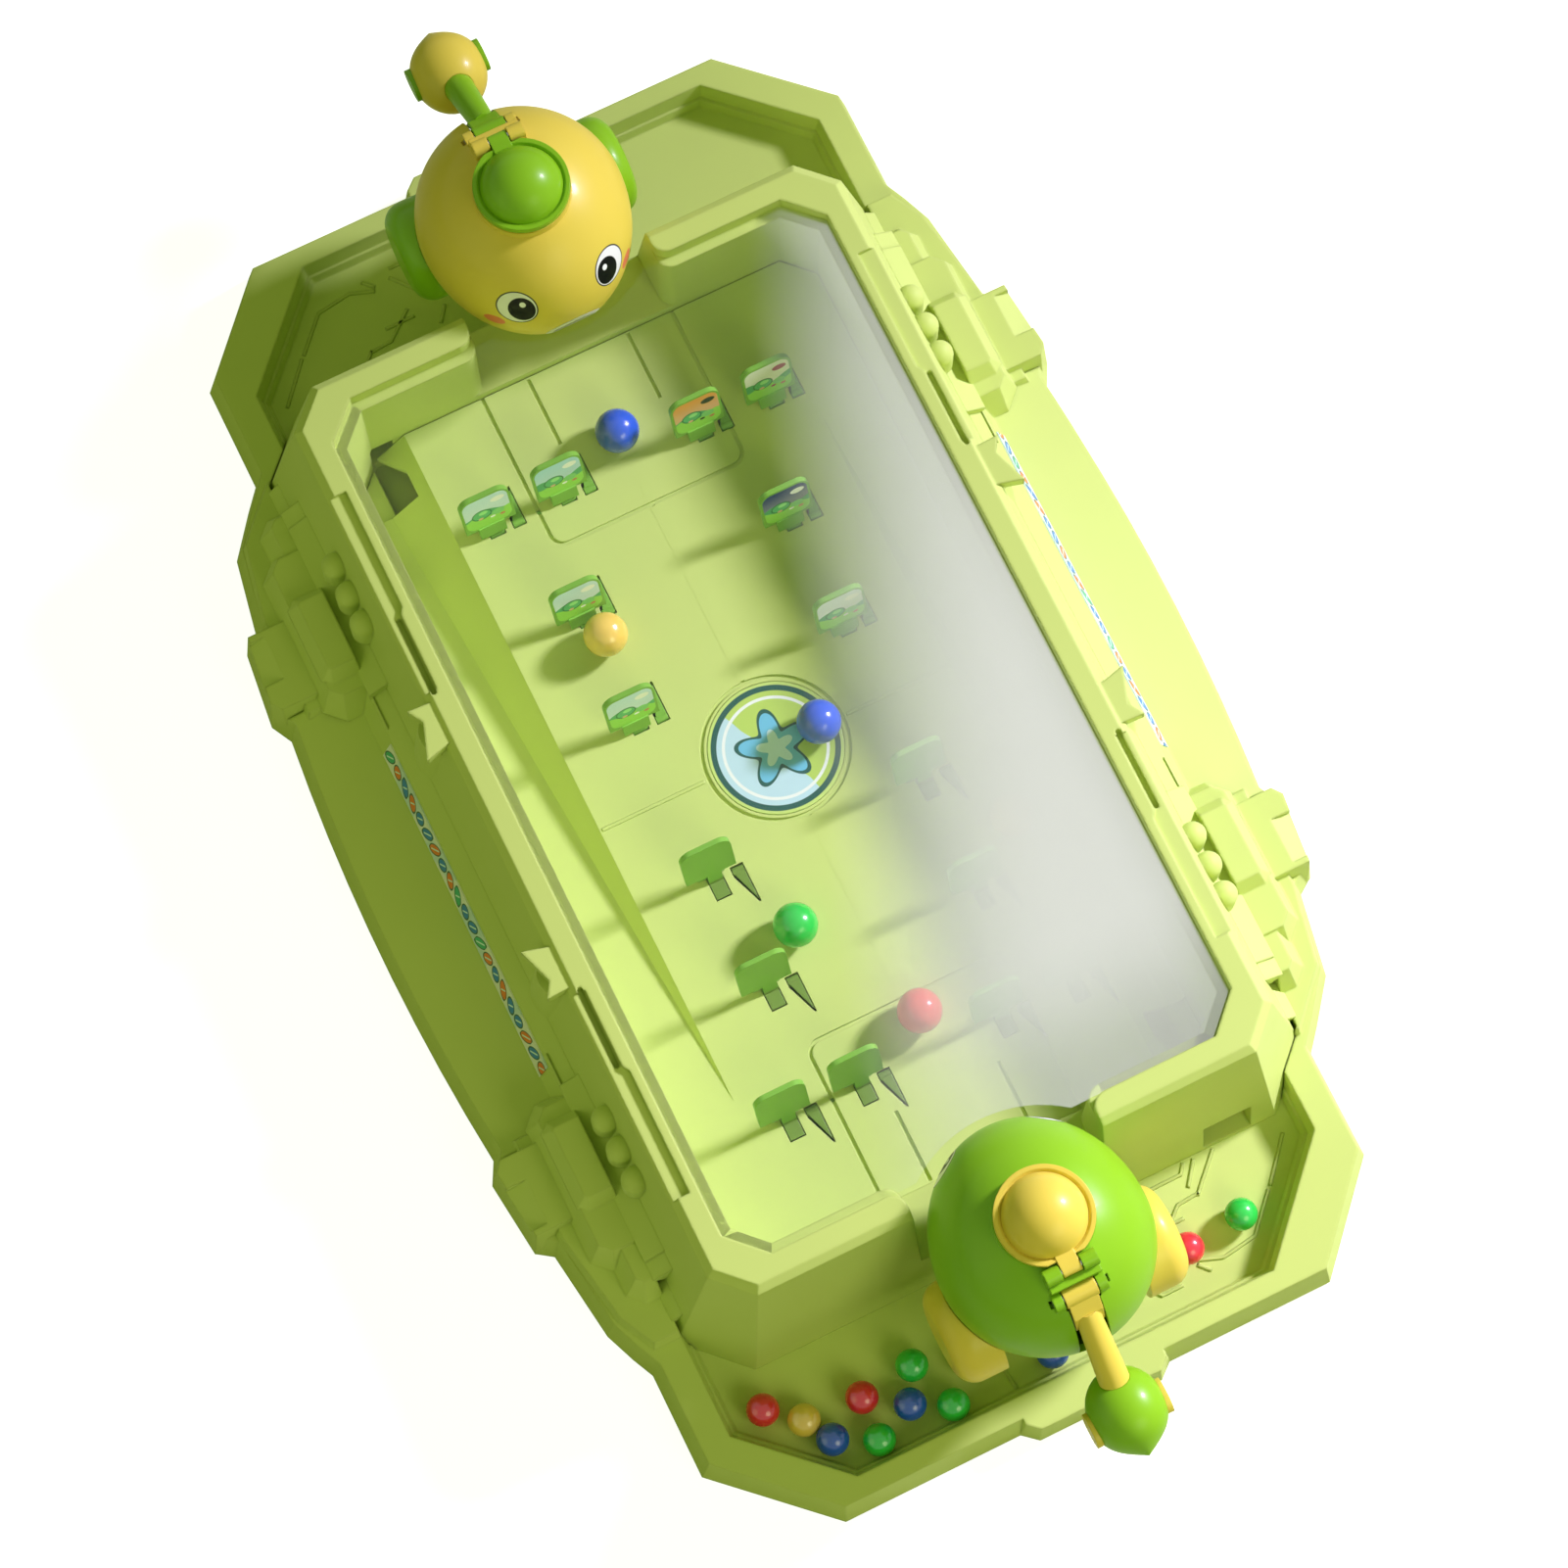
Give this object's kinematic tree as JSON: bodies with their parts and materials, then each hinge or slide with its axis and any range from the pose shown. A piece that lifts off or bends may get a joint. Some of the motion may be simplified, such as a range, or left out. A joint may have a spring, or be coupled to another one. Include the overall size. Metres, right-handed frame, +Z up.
{
  "type": "tabletop pinball game",
  "caption": "Two-player tabletop pinball game with swivelling ball launchers, flip-back targets, a clear cover and a ball tray at each end.",
  "frame": {"origin": "on the table, under the middle of the game, at the bottom of its feet", "axes": "+X across the game, +Y along it towards the far player, +Z up"},
  "size_m": [0.2772, 0.499, 0.1088],
  "materials": {
    "lime_plastic": "moulded, satin gloss",
    "deck_plastic": "moulded",
    "yellow_plastic": "moulded, glossy",
    "green_plastic": "moulded, glossy",
    "target_plastic": "moulded",
    "clear_sheet": "clear plastic",
    "printed_film": "printed",
    "rubber": "matt",
    "steel": "plain",
    "white_plastic": "moulded",
    "red_ball": "glossy",
    "blue_ball": "glossy",
    "green_ball": "glossy",
    "yellow_ball": "glossy"
  },
  "bodies": {
    "root": {"base_tray": "lime_plastic", "bottom_cover": "lime_plastic", "rubber_feet": "rubber", "cover_screws": "steel", "play_housing": "lime_plastic", "playfield_deck": "deck_plastic", "clear_cover": "clear_sheet", "medallion": "printed_film", "label_strips": "printed_film", "red_balls": "red_ball", "blue_balls": "blue_ball", "green_balls": "green_ball", "yellow_balls": "yellow_ball", "near_pedestal": "lime_plastic", "far_pedestal": "lime_plastic"},
    "near_launcher": {"near_turntable": "lime_plastic", "near_shell": "green_plastic", "near_barrel": "white_plastic", "near_lid_pin": "steel", "near_haunches": "yellow_plastic", "near_tail_pin": "steel", "near_return_spring": "steel"},
    "near_lid": {"near_lid": "yellow_plastic"},
    "near_tail": {"near_tail_lever": "yellow_plastic", "near_tail_bulb": "green_plastic", "near_bulb_ovals": "yellow_plastic"},
    "near_striker": {"near_striker": "white_plastic"},
    "far_launcher": {"far_turntable": "lime_plastic", "far_shell": "yellow_plastic", "far_barrel": "white_plastic", "far_lid_pin": "steel", "far_haunches": "green_plastic", "far_tail_pin": "steel", "far_return_spring": "steel"},
    "far_lid": {"far_lid": "green_plastic"},
    "far_tail": {"far_tail_lever": "green_plastic", "far_tail_bulb": "yellow_plastic", "far_bulb_ovals": "green_plastic"},
    "far_striker": {"far_striker": "white_plastic"},
    "target_far_1": {"target_far_1": "target_plastic"},
    "target_far_2": {"target_far_2": "target_plastic"},
    "target_far_3": {"target_far_3": "target_plastic"},
    "target_far_4": {"target_far_4": "target_plastic"},
    "target_far_5": {"target_far_5": "target_plastic"},
    "target_far_6": {"target_far_6": "target_plastic"},
    "target_far_7": {"target_far_7": "target_plastic"},
    "target_far_8": {"target_far_8": "target_plastic"},
    "target_near_1": {"target_near_1": "target_plastic"},
    "target_near_2": {"target_near_2": "target_plastic"},
    "target_near_3": {"target_near_3": "target_plastic"},
    "target_near_4": {"target_near_4": "target_plastic"},
    "target_near_5": {"target_near_5": "target_plastic"},
    "target_near_6": {"target_near_6": "target_plastic"},
    "target_near_7": {"target_near_7": "target_plastic"},
    "target_near_8": {"target_near_8": "target_plastic"}
  },
  "joints": [
    {"name": "near_swivel", "type": "hinge", "parent": "root", "child": "near_launcher", "pos_m": [0, -0.1805, 0.03], "axis": [0, 0, 1], "range_deg": [-14, 14]},
    {"name": "near_lid_hinge", "type": "hinge", "parent": "near_launcher", "child": "near_lid", "pos_m": [0, -0.1934, 0.0986], "axis": [1, 0, 0], "range_deg": [0, 100]},
    {"name": "near_tail_hinge", "type": "hinge", "parent": "near_launcher", "child": "near_tail", "pos_m": [0, -0.1995, 0.09], "axis": [1, 0, 0], "range_deg": [0, 14]},
    {"name": "near_striker_slide", "type": "slide", "parent": "near_launcher", "child": "near_striker", "axis": [0, 1, 0], "range_m": [0, 0.00804]},
    {"name": "far_swivel", "type": "hinge", "parent": "root", "child": "far_launcher", "pos_m": [0, 0.1805, 0.03], "axis": [0, 0, 1], "range_deg": [-14, 14]},
    {"name": "far_lid_hinge", "type": "hinge", "parent": "far_launcher", "child": "far_lid", "pos_m": [0, 0.1934, 0.0986], "axis": [-1, 0, 0], "range_deg": [0, 100]},
    {"name": "far_tail_hinge", "type": "hinge", "parent": "far_launcher", "child": "far_tail", "pos_m": [0, 0.1995, 0.09], "axis": [-1, 0, 0], "range_deg": [0, 14]},
    {"name": "far_striker_slide", "type": "slide", "parent": "far_launcher", "child": "far_striker", "axis": [0, -1, 0], "range_m": [0, 0.00804]},
    {"name": "target_far_1_hinge", "type": "hinge", "parent": "root", "child": "target_far_1", "pos_m": [-0.0363, 0.0246, 0.0238], "axis": [-1, 0, 0], "range_deg": [0, 54]},
    {"name": "target_far_2_hinge", "type": "hinge", "parent": "root", "child": "target_far_2", "pos_m": [0.0363, 0.0246, 0.0238], "axis": [-1, 0, 0], "range_deg": [0, 54]},
    {"name": "target_far_3_hinge", "type": "hinge", "parent": "root", "child": "target_far_3", "pos_m": [-0.0363, 0.0632, 0.0238], "axis": [-1, 0, 0], "range_deg": [0, 54]},
    {"name": "target_far_4_hinge", "type": "hinge", "parent": "root", "child": "target_far_4", "pos_m": [0.0363, 0.0632, 0.0238], "axis": [-1, 0, 0], "range_deg": [0, 54]},
    {"name": "target_far_5_hinge", "type": "hinge", "parent": "root", "child": "target_far_5", "pos_m": [-0.0491, 0.1022, 0.0238], "axis": [-1, 0, 0], "range_deg": [0, 54]},
    {"name": "target_far_6_hinge", "type": "hinge", "parent": "root", "child": "target_far_6", "pos_m": [-0.0241, 0.1022, 0.0238], "axis": [-1, 0, 0], "range_deg": [0, 54]},
    {"name": "target_far_7_hinge", "type": "hinge", "parent": "root", "child": "target_far_7", "pos_m": [0.0241, 0.1022, 0.0238], "axis": [-1, 0, 0], "range_deg": [0, 54]},
    {"name": "target_far_8_hinge", "type": "hinge", "parent": "root", "child": "target_far_8", "pos_m": [0.0491, 0.1022, 0.0238], "axis": [-1, 0, 0], "range_deg": [0, 54]},
    {"name": "target_near_1_hinge", "type": "hinge", "parent": "root", "child": "target_near_1", "pos_m": [-0.0491, -0.1078, 0.0238], "axis": [1, 0, 0], "range_deg": [0, 86]},
    {"name": "target_near_2_hinge", "type": "hinge", "parent": "root", "child": "target_near_2", "pos_m": [-0.0241, -0.1078, 0.0238], "axis": [1, 0, 0], "range_deg": [0, 86]},
    {"name": "target_near_3_hinge", "type": "hinge", "parent": "root", "child": "target_near_3", "pos_m": [0.0241, -0.1078, 0.0238], "axis": [1, 0, 0], "range_deg": [0, 86]},
    {"name": "target_near_4_hinge", "type": "hinge", "parent": "root", "child": "target_near_4", "pos_m": [0.0491, -0.1078, 0.0238], "axis": [1, 0, 0], "range_deg": [0, 86]},
    {"name": "target_near_5_hinge", "type": "hinge", "parent": "root", "child": "target_near_5", "pos_m": [-0.0363, -0.0687, 0.0238], "axis": [1, 0, 0], "range_deg": [0, 86]},
    {"name": "target_near_6_hinge", "type": "hinge", "parent": "root", "child": "target_near_6", "pos_m": [0.0363, -0.0687, 0.0238], "axis": [1, 0, 0], "range_deg": [0, 86]},
    {"name": "target_near_7_hinge", "type": "hinge", "parent": "root", "child": "target_near_7", "pos_m": [-0.0363, -0.0299, 0.0238], "axis": [1, 0, 0], "range_deg": [0, 86]},
    {"name": "target_near_8_hinge", "type": "hinge", "parent": "root", "child": "target_near_8", "pos_m": [0.0363, -0.0299, 0.0238], "axis": [1, 0, 0], "range_deg": [0, 86]}
  ],
  "couplings": [
    {"joint": "near_striker_slide", "follows": "near_tail_hinge", "m_per_rad": 0.032918},
    {"joint": "far_striker_slide", "follows": "far_tail_hinge", "m_per_rad": 0.032918}
  ]
}
